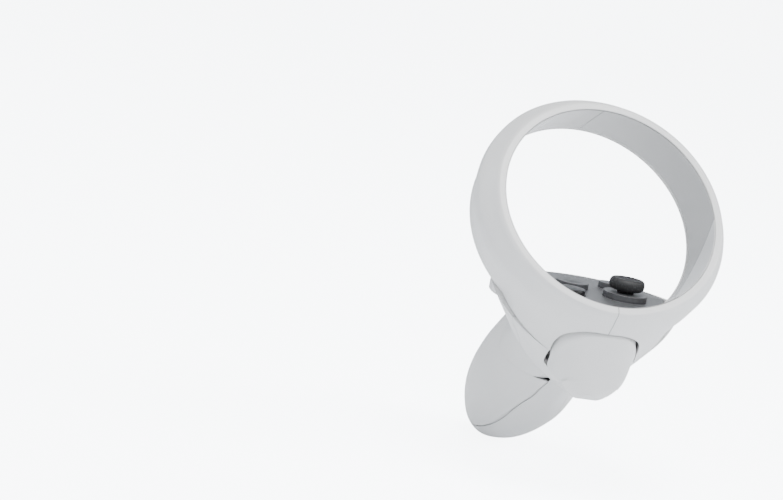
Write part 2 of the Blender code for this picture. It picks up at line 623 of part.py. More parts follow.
def grip_parts():
    new_object("grip_pin", turned("grip_pin", rod(0.9, 1.0, 21.0), sides=16), hinge_frame(), STEEL)
    spring = RING @ Matrix.Translation(Vector((6.9, -24.0, 58.5)) * MM) @ Matrix.Rotation(math.pi / 2, 4, "Y")
    coil("grip_spring", 1.6, 0.4, 3, 2.0, spring, STEEL)
    magnet = turned("grip_magnet", rod(1.6, 0.0, 1.2), at=(9.3, -17.0, 62.0), axis="x", sides=16)
    new_object("grip_magnet", magnet, RING, ALLOY)


# ---------------------------------------------------------------- battery
def battery():
    cell = ((0.0, 0.0), (6.4, 0.0), (CELL_RADIUS, 0.7), (CELL_RADIUS, CELL_LENGTH - 1.6), (6.6, CELL_LENGTH - 1.0),
            (2.7, CELL_LENGTH - 1.0), (2.7, CELL_LENGTH), (0.0, CELL_LENGTH))
    new_object("battery_cell", turned("battery_cell", cell, at=(0.0, CELL_V, CELL_FRONT), sides=40), HANDLE, CELL)
    wall = ((CELL_RADIUS + 0.3, 0), (CELL_RADIUS + 1.1, 0), (CELL_RADIUS + 1.1, 41), (CELL_RADIUS + 0.3, 41))
    trough = turned("battery_tray", wall, at=(0.0, CELL_V, CELL_FRONT + 1.0), sides=40)
    tray = new_object("battery_tray", trough, HANDLE, NYLON)
    boolean(tray, "DIFFERENCE", box("tray_mouth", (-20, CELL_V - 2.0, 40), (20, 20, 130)), HANDLE)
    plate = box("contact_plate", (-4.0, CELL_V - 4.0, CELL_FRONT + CELL_LENGTH + GAP),
                (4.0, CELL_V + 3.0, CELL_FRONT + CELL_LENGTH + GAP + 0.5))
    new_object("contact_plate", plate, HANDLE, STEEL)
    turn = HANDLE @ Matrix.Translation(Vector((0.0, CELL_V, CELL_FRONT - 3.9)) * MM)
    coil("contact_spring", 3.2, 0.6, 4, 3.2, turn, STEEL)


def build():
    global collection, cutters
    for obj in list(bpy.data.objects):
        bpy.data.objects.remove(obj)
    collection = bpy.data.collections.new("vr_motion_controller")
    cutters = bpy.data.collections.new("cutters")
    bpy.context.scene.collection.children.link(collection)
    bpy.context.scene.collection.children.link(cutters)
    cutters.hide_render = True
    ring_shell()
    ring_inner_band()
    led_strip()
    head_shell()
    front_housing()
    battery_cover()
    strap_bar()
    face_plate()
    button("upper_button", UPPER_BUTTON_AT, BUTTON_RADIUS, 2.2)
    button("lower_button", LOWER_BUTTON_AT, BUTTON_RADIUS, 2.2)
    button("menu_button", MENU_BUTTON_AT, MENU_RADIUS, 0.7)
    button_pad()
    lower_dome()
    main_board()
    board_screws()
    thumbstick()
    haptic_motor()
    trigger()
    trigger_parts()
    grip_button()
    grip_parts()
    battery()


build()
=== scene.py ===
"""Finished look of the left-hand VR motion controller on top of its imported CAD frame.

Lengths in the shape formulas are millimetres. Three local frames repeat the CAD's own: the ring frame (x right,
v up the ring's front plane, w back along its axis), the plate frame (x right, y forward, z up) and the world.
"""
import json
import math

import bmesh
import bpy
import numpy as np
from mathutils import Euler, Matrix, Vector


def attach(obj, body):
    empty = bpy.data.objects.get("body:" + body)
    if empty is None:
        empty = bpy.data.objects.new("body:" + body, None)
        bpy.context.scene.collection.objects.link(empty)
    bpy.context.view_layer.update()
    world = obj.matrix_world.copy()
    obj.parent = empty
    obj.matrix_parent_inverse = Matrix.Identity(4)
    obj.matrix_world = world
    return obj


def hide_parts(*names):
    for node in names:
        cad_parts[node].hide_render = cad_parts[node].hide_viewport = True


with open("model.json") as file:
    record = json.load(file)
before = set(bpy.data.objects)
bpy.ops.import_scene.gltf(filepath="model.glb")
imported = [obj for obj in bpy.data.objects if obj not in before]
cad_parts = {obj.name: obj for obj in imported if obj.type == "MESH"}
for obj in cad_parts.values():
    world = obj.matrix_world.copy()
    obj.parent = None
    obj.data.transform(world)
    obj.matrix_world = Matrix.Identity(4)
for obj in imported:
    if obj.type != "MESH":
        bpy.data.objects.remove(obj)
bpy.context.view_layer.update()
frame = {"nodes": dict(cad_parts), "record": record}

MM = 0.001
GAP = 0.3
WALL = 1.8
SHARP_ANGLE = math.radians(34)
RING_CENTRE = (0.0, 28.3, 95.78)
LEAN = math.radians(41.0)
PLATE_DROP = 30.0
PLATE_SETBACK = 8.0

OVAL = 1.033
RIM_INNER = 36.0
RIM_OUTER = 38.5
BAND_TAPER = 0.0307
BORE_RISE = 0.301
OUTSIDE = ((0.0, 38.9), (2.9, 40.2), (5.9, 41.8), (8.8, 42.7), (11.7, 42.7), (14.7, 42.2), (17.6, 41.6),
           (20.5, 41.0), (23.5, 40.55), (25.0, 40.35))
RING_DEPTH = 25.0
BAND_THICK = 1.2
BAND_EDGE = 0.6
BAND_END = 23.4
FOOT_SWELL = 0.25
FOOT_FROM = 42.0
FOOT_START = 8.0
RING_STEPS = 240

PLATE_RADIUS = 29.2
PLATE_THICK = 2.0
RIM_RADIUS = 32.0
RIM_DROP = 1.3
RIM_HEIGHT = 4.8
STICK_AT = (-11.5, 4.9)
STICK_HOLE = 7.0
CAP_RADIUS = 5.9
UPPER_BUTTON_AT = (4.0, -4.4)
LOWER_BUTTON_AT = (8.4, 8.2)
MENU_BUTTON_AT = (-11.2, -12.1)
BUTTON_RADIUS = 4.8
MENU_RADIUS = 2.6
BOARD_DEPTH = 9.5
BOSSES = ((-12.2, -18.4), (12.2, -18.4), (-16.8, -6.3), (16.8, -6.3))

# Head and handle stations along w: half width, top, bottom, sharpness of the lower half, middle in x
BODY_MID = -16.5
BODY = (
    (25.3, 33.5, 9.0, -47.2, 1.6, 0.0), (30.0, 30.9, 9.0, -48.8, 1.55, 0.0), (34.0, 28.7, 9.0, -49.5, 1.5, -0.2),
    (36.5, 27.3, 8.6, -49.7, 1.5, -0.4), (39.5, 25.4, 7.4, -49.0, 1.6, -0.7), (41.5, 24.1, 5.8, -46.6, 1.65, -1.0),
    (43.0, 23.0, 4.6, -42.0, 1.65, -1.2), (44.8, 21.6, 3.5, -36.6, 1.6, -1.5), (50.0, 18.8, 2.0, -36.6, 1.55, -2.2),
    (56.0, 17.2, 2.4, -37.3, 1.5, -2.5), (66.0, 16.2, 3.5, -38.3, 1.6, -1.45), (76.0, 15.9, 4.0, -38.0, 2.1, -0.25),
    (86.0, 15.5, 3.8, -37.2, 2.5, 1.0), (96.0, 14.5, 2.7, -35.8, 2.5, 2.2), (104.0, 12.9, 0.8, -33.8, 2.5, 3.2),
    (110.0, 10.9, -1.9, -31.2, 2.4, 3.9), (114.0, 8.6, -5.1, -28.2, 2.2, 4.4), (116.4, 5.9, -9.0, -24.6, 2.0, 4.7),
    (117.2, 3.7, -12.2, -21.6, 2.0, 4.8), (117.5, 1.0, -16.0, -18.0, 2.0, 4.8),
)
FRONT_SEAM = ((20.0, -30.6), (25.4, -31.0), (36.7, -32.4), (43.9, -34.0), (58.3, -35.0), (71.6, -35.7),
              (82.0, -35.7), (92.2, -34.5), (102.5, -31.4), (109.8, -26.7), (115.0, -21.0), (123.0, -10.0))
COVER_SPLIT = 54.6
GRIP = ((-34.0, 44.6), (-11.6, 55.0), (-10.7, 59.5), (-11.9, 64.2), (-16.1, 67.6), (-20.7, 67.6),
        (-31.0, 61.6), (-34.3, 58.1))
GRIP_STAND = math.radians(7.0)
GRIP_HINGE = ((5.8, -29.0, 47.6), (10.4, -12.8, 56.2))

TRIGGER_WIDTH = 13.8
OPENING_WIDTH = TRIGGER_WIDTH + 0.7
TRIGGER_PIN = (-38.4, 19.5)
TRIGGER_FRONT = ((-39.0, 10.4), (-42.5, 10.7), (-43.8, 13.2), (-46.4, 18.5), (-49.6, 23.9), (-52.3, 27.2),
                 (-54.0, 29.2))

# Seams drawn on the ring: the curve that ends the band's lighter flank, and where the straight seams run
FLANK_MIDDLE = -14.5
FLANK_HALF_HEIGHT = 16.0
FLANK_DEPTH = 17.0
TOP_SEAM_ABOVE = 20.0
TOP_SEAM_SIDE = 0.5
FOOT_SEAM_BELOW = -30.0
SEAM_DEPTH = 0.0002

# Backdrop: a round floor that bends up into a wall on every side
FLOOR_LEVEL = -0.5
FLOOR_RADIUS = 2400.0
BEND_RADIUS = 1200.0
BEND_STEPS = 12
BACKDROP_HEIGHT = 5000.0
BACKDROP_THICK = 50.0
BACKDROP_UNDERSIDE = -60.0
COOL_WHITE = (0.95, 0.97, 1.0, 1.0)
GLOW_COLOUR = (0.93, 0.97, 1.0, 1.0)
GLOW_ON_OBJECT = 0.2
GLOW_FOR_CAMERA = 7.0

# The camera stands in front of the ring, to the user's right of it, a little above its middle
CAMERA_FROM_RING = (271.98, 761.54, 98.82)
CAMERA_TURN = (80.964, -10.354, 166.792)
CAMERA_LENS = 114.94


# ---------------------------------------------------------------- frames and helpers
def ring_frame():
    sine, cosine = math.sin(LEAN), math.cos(LEAN)
    turn = Matrix(((1, 0, 0), (0, -sine, -cosine), (0, cosine, -sine))).to_4x4()
    return Matrix.Translation(Vector(RING_CENTRE) * MM) @ turn


def plate_frame():
    x, y, z = RING_CENTRE
    return Matrix.Translation(Vector((x, y - PLATE_SETBACK, z - PLATE_DROP)) * MM)


RING = ring_frame()
PLATE = plate_frame()


def smooth(table, column, at):
    """Value of one column of a table at a depth, on a smooth curve that never overshoots the rows."""
    x = np.array([row[0] for row in table], dtype=float)
    y = np.array([row[column] for row in table], dtype=float)
    at = min(max(at, x[0]), x[-1])
    step = np.diff(x)
    rise = np.diff(y) / step
    slope = np.zeros(len(x))
    for i in range(1, len(x) - 1):
        if rise[i - 1] * rise[i] > 0:
            slope[i] = 2.0 / (1.0 / rise[i - 1] + 1.0 / rise[i])
    slope[0], slope[-1] = rise[0], rise[-1]
    i = int(min(max(np.searchsorted(x, at) - 1, 0), len(x) - 2))
    t = (at - x[i]) / step[i]
    return float(y[i] * (1 + 2 * t) * (1 - t) ** 2 + slope[i] * step[i] * t * (1 - t) ** 2
                 + y[i + 1] * t * t * (3 - 2 * t) + slope[i + 1] * step[i] * t * t * (t - 1))


def mesh_from(bm, name):
    bmesh.ops.recalc_face_normals(bm, faces=bm.faces)
    mesh = bpy.data.meshes.new(name)
    bm.to_mesh(mesh)
    bm.free()
    return mesh


def loft(name, sections, closed=False):
    """A skin over sections of equal point counts, either capped at both ends or closed into a loop."""
    bm = bmesh.new()
    rings = [[bm.verts.new(Vector(p) * MM) for p in section] for section in sections]
    pairs = list(zip(rings, rings[1:])) + ([(rings[-1], rings[0])] if closed else [])
    for first, second in pairs:
        for i in range(len(first)):
            j = (i + 1) % len(first)
            bm.faces.new((first[i], first[j], second[j], second[i]))
    if not closed:
        bm.faces.new(rings[0])
        bm.faces.new(rings[-1])
    return mesh_from(bm, name)


def box(name, low, high):
    bm = bmesh.new()
    bmesh.ops.create_cube(bm, size=1.0)
    bmesh.ops.scale(bm, vec=[(b - a) * MM for a, b in zip(low, high)], verts=bm.verts)
    bmesh.ops.translate(bm, vec=[(a + b) / 2 * MM for a, b in zip(low, high)], verts=bm.verts)
    return mesh_from(bm, name)


def prism(name, outline, low, high, axis="x"):
    """An outline drawn across the axis, pushed along it from low to high."""
    place = {"x": lambda a, b, t: (t, a, b), "y": lambda a, b, t: (a, t, b)}[axis]
    return loft(name, [[place(a, b, t) for a, b in outline] for t in (low, high)])


def turned(name, profile, at=(0.0, 0.0, 0.0), axis="z", sides=96, wave=None):
    """A closed outline of (radius, height) turned round an axis. wave(angle, radius, height) is added to radius."""
    swap = {"z": lambda x, y, z: (x, y, z), "x": lambda x, y, z: (z, x, y)}[axis]
    bm = bmesh.new()
    rings = []
    for i in range(sides):
        angle = 2 * math.pi * i / sides
        ring = []
        for r, h in profile:
            if wave:
                r = r + wave(angle, r, h)
            point = swap(r * math.cos(angle), r * math.sin(angle), h)
            ring.append(bm.verts.new(Vector([a + b for a, b in zip(point, at)]) * MM))
        rings.append(ring)
    for i, first in enumerate(rings):
        second = rings[(i + 1) % sides]
        for j in range(len(profile)):
            k = (j + 1) % len(profile)
            if profile[j][0] < 1e-9 and profile[k][0] < 1e-9:
                continue
            bm.faces.new((first[j], first[k], second[k], second[j]))
    bmesh.ops.remove_doubles(bm, verts=bm.verts, dist=1e-7)
    return mesh_from(bm, name)


def rod(radius, low, high):
    """Profile of a plain cylinder for turned()."""
    return ((0.0, low), (radius, low), (radius, high), (0.0, high))


class Shape:
    """A solid under construction."""

    def __init__(self, mesh, place):
        self.obj = bpy.data.objects.new("making", mesh)
        bpy.context.scene.collection.objects.link(self.obj)
        self.obj.matrix_world = place

    def combine(self, operation, mesh, place):
        tool = bpy.data.objects.new("tool", mesh)
        bpy.context.scene.collection.objects.link(tool)
        tool.matrix_world = place
        step = self.obj.modifiers.new("step", "BOOLEAN")
        step.operation = operation
        step.solver = "EXACT"
        step.object = tool
        made = bpy.data.meshes.new_from_object(self.obj.evaluated_get(bpy.context.evaluated_depsgraph_get()))
        self.obj.modifiers.clear()
        self.obj.data = made
        bpy.data.objects.remove(tool)
        return self

    def cut(self, mesh, place):
        return self.combine("DIFFERENCE", mesh, place)

    def keep(self, mesh, place):
        return self.combine("INTERSECT", mesh, place)

    def add(self, mesh, place):
        return self.combine("UNION", mesh, place)

    def finish(self, name, look, body, replaces=()):
        mesh = self.obj.data.copy()
        mesh.transform(self.obj.matrix_world)
        bpy.data.objects.remove(self.obj)
        return show(name, mesh, look, body, replaces)


def show(name, mesh, look, body, replaces=()):
    """Put a finished mesh (world metres) in the scene, riding on its body."""
    mesh.name = name
    mesh.materials.clear()
    mesh.materials.append(look)
    mesh.shade_smooth()
    mesh.set_sharp_from_angle(angle=SHARP_ANGLE)
    obj = bpy.data.objects.new(name, mesh)
    bpy.context.scene.collection.objects.link(obj)
    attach(obj, body)
    if replaces:
        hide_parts(*replaces)
    return obj


# ---------------------------------------------------------------- materials
class Look:
    """Small helper that builds one node material."""

    def __init__(self, name):
        self.material = bpy.data.materials.new(name)
        self.material.use_nodes = True
        self.nodes = self.material.node_tree.nodes
        self.links = self.material.node_tree.links
        self.shader = self.nodes["Principled BSDF"]
        coordinates = self.nodes.new("ShaderNodeTexCoord")
        self.place = coordinates.outputs["Object"]

    def put(self, kind, **inputs):
        node = self.nodes.new(kind)
        for key, value in inputs.items():
            socket = node.inputs[key.replace("_", " ")]
            if isinstance(value, bpy.types.NodeSocket):
                self.links.new(value, socket)
            else:
                socket.default_value = value
        return node

    def maths(self, operation, a, b=0.0):
        node = self.nodes.new("ShaderNodeMath")
        node.operation = operation
        for socket, value in zip(node.inputs, (a, b)):
            if isinstance(value, bpy.types.NodeSocket):
                self.links.new(value, socket)
            else:
                socket.default_value = value
        return node.outputs[0]

    def noise(self, scale, detail=3.0, rough=0.5):
        return self.put("ShaderNodeTexNoise", Vector=self.place, Scale=scale, Detail=detail, Roughness=rough)

    def along(self, direction, origin):
        """Distance in mm along a world direction from a world point (mm)."""
        node = self.nodes.new("ShaderNodeVectorMath")
        node.operation = "DOT_PRODUCT"
        self.links.new(self.place, node.inputs[0])
        node.inputs[1].default_value = [value * 1000.0 for value in direction]
        offset = sum(a * b for a, b in zip(direction, origin))
        return self.maths("SUBTRACT", node.outputs["Value"], offset)

    def mix(self, factor, dark, light):
        node = self.nodes.new("ShaderNodeMix")
        node.data_type = "RGBA"
        self.links.new(factor, node.inputs[0])
        for socket, value in ((node.inputs[6], dark), (node.inputs[7], light)):
            if isinstance(value, bpy.types.NodeSocket):
                self.links.new(value, socket)
            else:
                socket.default_value = (*value, 1.0)
        return node.outputs[2]

    def spread(self, value, low, high):
        return self.put("ShaderNodeMapRange", Value=value, To_Min=low, To_Max=high).outputs[0]

    def fade(self, value, start, end):
        """0 up to start, 1 from end on."""
        return self.put("ShaderNodeMapRange", Value=value, From_Min=start, From_Max=end).outputs[0]

    def bump(self, height, strength, distance, normal):
        node = self.put("ShaderNodeBump", Height=height, Strength=strength, Distance=distance, Normal=normal)
        return node.outputs[0]

    def feeding(self, socket):
        """The output that already feeds one of the shader's inputs."""
        return self.shader.inputs[socket].links[0].from_socket

    def ring_distances(self):
        """Distances in mm from the ring's centre: to the right, up the front plane and back along the axis."""
        sine, cosine = math.sin(LEAN), math.cos(LEAN)
        directions = ((1.0, 0.0, 0.0), (0.0, -sine, cosine), (0.0, -cosine, -sine))
        return [self.along(direction, RING_CENTRE) for direction in directions]

    def edges(self, radius):
        node = self.nodes.new("ShaderNodeBevel")
        node.samples = 6
        node.inputs["Radius"].default_value = radius
        return node.outputs[0]

    def colour(self, value):
        self.links.new(value, self.shader.inputs["Base Color"])

    def roughness(self, value):
        self.links.new(value, self.shader.inputs["Roughness"])

    def normal(self, value):
        self.links.new(value, self.shader.inputs["Normal"])


def moulded(name, dark, light, rough=(0.4, 0.5), grain=2600.0, depth=0.00002, edge=0.0004, strength=0.25):
    """Moulded plastic: faint cloudy tone, fine spark-eroded grain and softened edges."""
    look = Look(name)
    cloud = look.noise(28.0, 4.0, 0.55).outputs["Fac"]
    speck = look.noise(900.0, 2.0, 0.6).outputs["Fac"]
    tone = look.maths("ADD", look.maths("MULTIPLY", cloud, 0.75), look.maths("MULTIPLY", speck, 0.25))
    look.colour(look.mix(look.spread(tone, 0.0, 1.0), dark, light))
    look.roughness(look.spread(cloud, *rough))
    look.normal(look.bump(look.noise(grain, 2.0, 0.5).outputs["Fac"], strength, depth, look.edges(edge)))
    return look


def metal(name, dark, light, rough):
    look = Look(name)
    look.shader.inputs["Metallic"].default_value = 1.0
    drawn = look.put("ShaderNodeTexNoise", Vector=look.place, Scale=600.0, Detail=4.0)
    look.colour(look.mix(drawn.outputs["Fac"], dark, light))
    look.roughness(look.spread(drawn.outputs["Fac"], rough - 0.08, rough + 0.1))
    look.normal(look.bump(drawn.outputs["Fac"], 0.2, 0.00003, look.edges(0.0002)))
    return look


def band_look():
    """Inner band: satin grey, with a lighter flank low on each side that ends in a curved seam, and a top seam."""
    look = moulded("band_satin", (0.33, 0.33, 0.33), (0.37, 0.37, 0.37), rough=(0.14, 0.2), strength=0.05)
    side, up, back = look.ring_distances()
    reach = look.maths("MULTIPLY", look.maths("ADD", up, -FLANK_MIDDLE), 1 / FLANK_HALF_HEIGHT)
    arch = look.maths("SUBTRACT", 1.0, look.maths("MULTIPLY", reach, reach))
    inside = look.maths("SUBTRACT", look.maths("MULTIPLY", arch, FLANK_DEPTH), back)
    flank = look.fade(inside, -0.12, 0.12)
    colour = look.mix(flank, look.feeding("Base Color"), (0.60, 0.605, 0.61))
    edge = look.fade(look.maths("ABSOLUTE", inside), 0.10, 0.32)
    slit = look.fade(look.maths("ABSOLUTE", look.maths("SUBTRACT", side, TOP_SEAM_SIDE)), 0.06, 0.24)
    top = look.maths("GREATER_THAN", up, TOP_SEAM_ABOVE)
    slit = look.maths("MAXIMUM", slit, look.maths("SUBTRACT", 1.0, top))
    seam = look.maths("MULTIPLY", edge, slit)
    look.colour(look.mix(seam, (0.16, 0.16, 0.165), colour))
    look.normal(look.bump(seam, 0.6, SEAM_DEPTH, look.feeding("Normal")))
    return look


def ring_look():
    """The shell's plastic with one fine parting line down the middle of the ring's foot."""
    look = moulded("ring_shell_look", (0.60, 0.60, 0.60), (0.66, 0.66, 0.655))
    side, up, _ = look.ring_distances()
    off = look.fade(look.maths("ABSOLUTE", side), 0.05, 0.2)
    seam = look.maths("MAXIMUM", off, look.maths("GREATER_THAN", up, FOOT_SEAM_BELOW))
    look.colour(look.mix(seam, (0.25, 0.25, 0.25), look.feeding("Base Color")))
    look.normal(look.bump(seam, 0.6, SEAM_DEPTH, look.feeding("Normal")))
    return look


WHITE = moulded("white_shell_look", (0.60, 0.60, 0.60), (0.66, 0.66, 0.655))
RING_LOOK = ring_look()
BAND = band_look()
PLATE_LOOK = moulded("plate_satin", (0.055, 0.056, 0.06), (0.075, 0.076, 0.08), rough=(0.36, 0.48), grain=3200.0)
RUBBER = moulded("stick_rubber", (0.008, 0.008, 0.009), (0.016, 0.016, 0.017), rough=(0.5, 0.68), grain=2200.0,
                 depth=0.00006, edge=0.0003, strength=0.5)
GLOSS = moulded("button_gloss", (0.006, 0.006, 0.007), (0.011, 0.011, 0.012), rough=(0.3, 0.38), strength=0.05)
GLOSS.shader.inputs["Specular IOR Level"].default_value = 0.3
SOCKET = moulded("socket_black", (0.010, 0.010, 0.011), (0.018, 0.018, 0.019), rough=(0.25, 0.4))
NYLON = moulded("nylon_natural", (0.40, 0.40, 0.385), (0.47, 0.47, 0.455), rough=(0.45, 0.6))
BOARD = moulded("solder_mask", (0.012, 0.12, 0.05), (0.022, 0.17, 0.075), rough=(0.3, 0.42), grain=900.0)
FLEX = moulded("flex_film", (0.38, 0.18, 0.03), (0.5, 0.26, 0.05), rough=(0.3, 0.42), grain=1200.0)
WRAP = moulded("cell_film", (0.06, 0.075, 0.095), (0.09, 0.11, 0.13), rough=(0.25, 0.36), grain=1500.0)
STEEL = metal("steel_plain", (0.5, 0.5, 0.5), (0.66, 0.66, 0.66), 0.3)
MAGNET = metal("magnet_plating", (0.28, 0.28, 0.29), (0.4, 0.4, 0.41), 0.36)

FINISHES = {"white_shell": WHITE, "grey_band": BAND, "plate_grey": PLATE_LOOK, "black_rubber": RUBBER,
            "black_plastic": SOCKET, "board_green": BOARD, "flex_amber": FLEX, "steel": STEEL,
            "magnet_grey": MAGNET, "nylon": NYLON, "cell_wrap": WRAP}


def dress_frame():
    """Give every carried-over CAD node its node-based finish."""
    slots = {row["node"]: row["material_slot"] for row in frame["record"]["subparts"]}
    for node, obj in frame["nodes"].items():
        look = FINISHES[slots[node]].material
        for entry in obj.material_slots:
            entry.material = look


# ---------------------------------------------------------------- ring
def ring_radius(w):
    return smooth(OUTSIDE, 1, w)


def shell_rise(w):
    return 0.3 * w - 0.004 * w * w


def bore_radius(w):
    return RIM_INNER + BAND_TAPER * w


def foot_bulge(angle, w):
    below = math.degrees(math.asin(max(-math.sin(angle), -1.0)))
    along = min(max((w - FOOT_START) / (RING_DEPTH - FOOT_START), 0.0), 1.0) ** 1.2
    return FOOT_SWELL * max(below - FOOT_FROM, 0.0) * along


def ring_point(angle, radius, w, rise):
    return (radius * math.cos(angle), radius * OVAL * math.sin(angle) + rise, w)


def trigger_plan(half, front, back, power, points=56):
    """Half of a squarish oval that bulges forward from back to front."""
    outline = []
    for i in range(points + 1):
        angle = math.pi * (1 - i / points)
        cosine, sine = math.cos(angle), math.sin(angle)
        x = half * math.copysign(abs(cosine) ** (2 / power), cosine)
        outline.append((x, back - (back - front) * abs(sine) ** (2 / power)))
    return outline


def ring_shell():
    outer = [(w, ring_radius(w)) for w in np.arange(0.9, 24.4, 1.05)]
    inner = [(w, ring_radius(w) - WALL) for w in (18.0, 13.0, 9.0, 5.9)]
    sections = []
    for i in range(RING_STEPS):
        angle = 2 * math.pi * i / RING_STEPS
        under = min(max((-math.sin(angle) - 0.70) / 0.08, 0.0), 1.0)
        section = [ring_point(angle, RIM_INNER + 0.33, 0.12, 0.0), ring_point(angle, RIM_INNER + 0.5, 0.0, 0.0),
                   ring_point(angle, RIM_OUTER - 0.35, 0.0, 0.0), ring_point(angle, RIM_OUTER, 0.12, 0.0),
                   ring_point(angle, RIM_OUTER + 0.3, 0.42, 0.1)]
        for w, radius in outer:
            section.append(ring_point(angle, radius + foot_bulge(angle, w), w, shell_rise(w)))
        swell = foot_bulge(angle, RING_DEPTH)
        rise = shell_rise(RING_DEPTH)
        edge = ring_point(angle, ring_radius(RING_DEPTH) - 0.25 + swell, RING_DEPTH, rise)
        bore = ring_point(angle, bore_radius(RING_DEPTH), RING_DEPTH, BORE_RISE * RING_DEPTH)
        open_lip = ring_point(angle, ring_radius(RING_DEPTH) - WALL + swell, RING_DEPTH, rise)
        lip = [a + (b - a) * under for a, b in zip(bore, open_lip)]
        stop = BAND_END + GAP
        behind = ring_point(angle, bore_radius(stop) + BAND_EDGE + 0.2, stop, BORE_RISE * stop)
        deep = (open_lip[0], open_lip[1], stop - 0.5)
        section.append(ring_point(angle, ring_radius(24.75) + swell, 24.75, shell_rise(24.75)))
        section += [edge, lip, (lip[0], lip[1], stop)]
        section.append([a + (b - a) * under for a, b in zip(behind, deep)])
        for w, radius in inner:
            section.append(ring_point(angle, radius + foot_bulge(angle, w), w, shell_rise(w)))
        section.append(ring_point(angle, bore_radius(3.0) + BAND_THICK + GAP, 3.0, BORE_RISE * 3.0))
        section.append(ring_point(angle, RIM_INNER + 0.42, 1.6, BORE_RISE * 1.6))
        sections.append(section)
    shell = Shape(loft("ring_shell", sections, closed=True), RING)
    opening = [(OPENING_WIDTH, 40.0), (-OPENING_WIDTH, 40.0)]
    opening += trigger_plan(OPENING_WIDTH, 9.6, 25.0, 2.6)
    shell.cut(loft("trigger_opening", [[(x, v, w) for x, w in opening] for v in (-64, -38)]), RING)
    shell.finish("ring_shell_fine", RING_LOOK.material, "controller", ["ring_shell"])


def ring_inner_band():
    sections = []
    for i in range(RING_STEPS):
        angle = 2 * math.pi * i / RING_STEPS
        rows = [(w, 0.0) for w in np.linspace(0.45, BAND_END - 0.15, 12)]
        rows += [(BAND_END, 0.15), (BAND_END, BAND_EDGE), (17.0, BAND_THICK), (3.4, BAND_THICK), (2.4, 0.25),
                 (0.3, 0.25), (0.3, 0.12)]
        sections.append([ring_point(angle, bore_radius(w) + thick, w, BORE_RISE * w) for w, thick in rows])
    band = Shape(loft("band", sections, closed=True), RING)
    band.cut(box("under_plate", (-60, -60, -60), (60, 60, GAP)), PLATE)
    band.finish("ring_band_fine", BAND.material, "controller", ["ring_inner_band"])


# ---------------------------------------------------------------- head and handle
def body_values(w):
    return [smooth(BODY, column, w) for column in range(1, 6)]


def body_section(w, inset=0.0, points=112):
    """Outline of the head or handle at one depth, drawn in by an inset."""
    near = [body_values(w + shift) for shift in (-inset, 0.0, inset)]
    half = max(min(n[0] for n in near) - inset, 0.3)
    top = min(n[1] for n in near) - inset
    bottom = max(n[2] for n in near) + inset
    sharp, middle = near[1][3:]
    mid = min(max(BODY_MID, bottom + 1.0), top - 1.0)
    section = []
    for i in range(points):
        angle = 2 * math.pi * (i + 0.5) / points
        cosine, sine = math.cos(angle), math.sin(angle)
        power = 2.0 / (2.2 if sine > 0 else sharp)
        height = (top - mid) if sine > 0 else (mid - bottom)
        x = middle + half * math.copysign(abs(cosine) ** power, cosine)
        section.append((x, mid + height * math.copysign(abs(sine) ** power, sine), w))
    return section


def body_solid(name, inset=0.0, start=25.3, end=117.5):
    stops = list(np.arange(start, min(end, 112.0), 1.1))
    stops += [w for w in (112.0, 113.0, 114.0, 114.8, 115.6, 116.2, 116.7, 117.1, 117.35) if w < end - 0.1]
    stops.append(end)
    return loft(name, [body_section(float(w), inset) for w in stops])


def body_hollow():
    return body_solid("hollow", WALL, 20.0, 114.3)


def seam_line(low, high, shift):
    stops = [low] + [w for w in np.arange(21.0, 123.0, 2.0) if low + 0.5 < w < high - 0.5] + [high]
    return [(smooth(FRONT_SEAM, 1, float(w)) + shift, float(w)) for w in stops]


def above_seam(low, high, shift):
    return seam_line(low, high, shift) + [(60.0, high), (60.0, low)]


def below_seam(low, high, shift):
    return seam_line(low, high, shift) + [(-70.0, high), (-70.0, low)]


def grown(outline, amount):
    """A closed outline with its points moved away from its middle."""
    middle = [sum(p[i] for p in outline) / len(outline) for i in (0, 1)]
    moved = []
    for point in outline:
        away = [point[i] - middle[i] for i in (0, 1)]
        length = math.hypot(*away)
        moved.append(tuple(middle[i] + away[i] * (1 + amount / length) for i in (0, 1)))
    return moved


def grip_pocket():
    outline = grown(GRIP, 0.7)
    body = [outline[0], outline[1]] + rounded_side(outline[1:]) + [outline[-1]]
    return prism("grip_pocket", body + [(outline[-1][0] - 4.0, outline[-1][1]),
                                        (outline[0][0] - 4.0, outline[0][1])], -1.2, 41.0)


def rounded_side(points, passes=3):
    """An open run of points with its inner corners rounded and its two ends kept."""
    for _ in range(passes):
        cut = [points[0]]
        for first, second in zip(points, points[1:]):
            cut.append(tuple(a + (b - a) * 0.25 for a, b in zip(first, second)))
            cut.append(tuple(a + (b - a) * 0.75 for a, b in zip(first, second)))
        points = cut + [points[-1]]
    return points[1:-1]


def head_shell():
    head = Shape(body_solid("head", end=COVER_SPLIT + 1.0), RING)
    head.keep(prism("head_region", above_seam(24.0, COVER_SPLIT, GAP / 2), -50, 50), RING)
    head.cut(grip_pocket(), RING)
    above = 0.2
    crest = PLATE_RADIUS + GAP - above * (RIM_RADIUS - PLATE_RADIUS - GAP) / RIM_DROP
    rim = [(PLATE_RADIUS - 3.0, -RIM_HEIGHT), (RIM_RADIUS - 0.3, -RIM_HEIGHT), (RIM_RADIUS, -RIM_HEIGHT + 0.3),
           (RIM_RADIUS, -RIM_DROP - 0.5), (RIM_RADIUS - 0.25, -RIM_DROP - 0.08),
           (RIM_RADIUS - 0.7, -RIM_DROP + 0.22), (crest, above), (PLATE_RADIUS - 3.0, above)]
    head.add(turned("plate_rim", rim, sides=200), PLATE)
    head.cut(box("ring_side", (-60, -70, -40), (60, 80, 25.25)), RING)
    head.cut(box("above_plate", (-60, -60, 0), (60, 60, 60)), PLATE)
    head.cut(body_hollow(), RING)
    head.cut(turned("plate_seat", rod(PLATE_RADIUS + GAP, -PLATE_THICK - 0.4, 5.0), sides=200), PLATE)
    head.finish("head_shell_fine", WHITE.material, "controller", ["head_shell"])


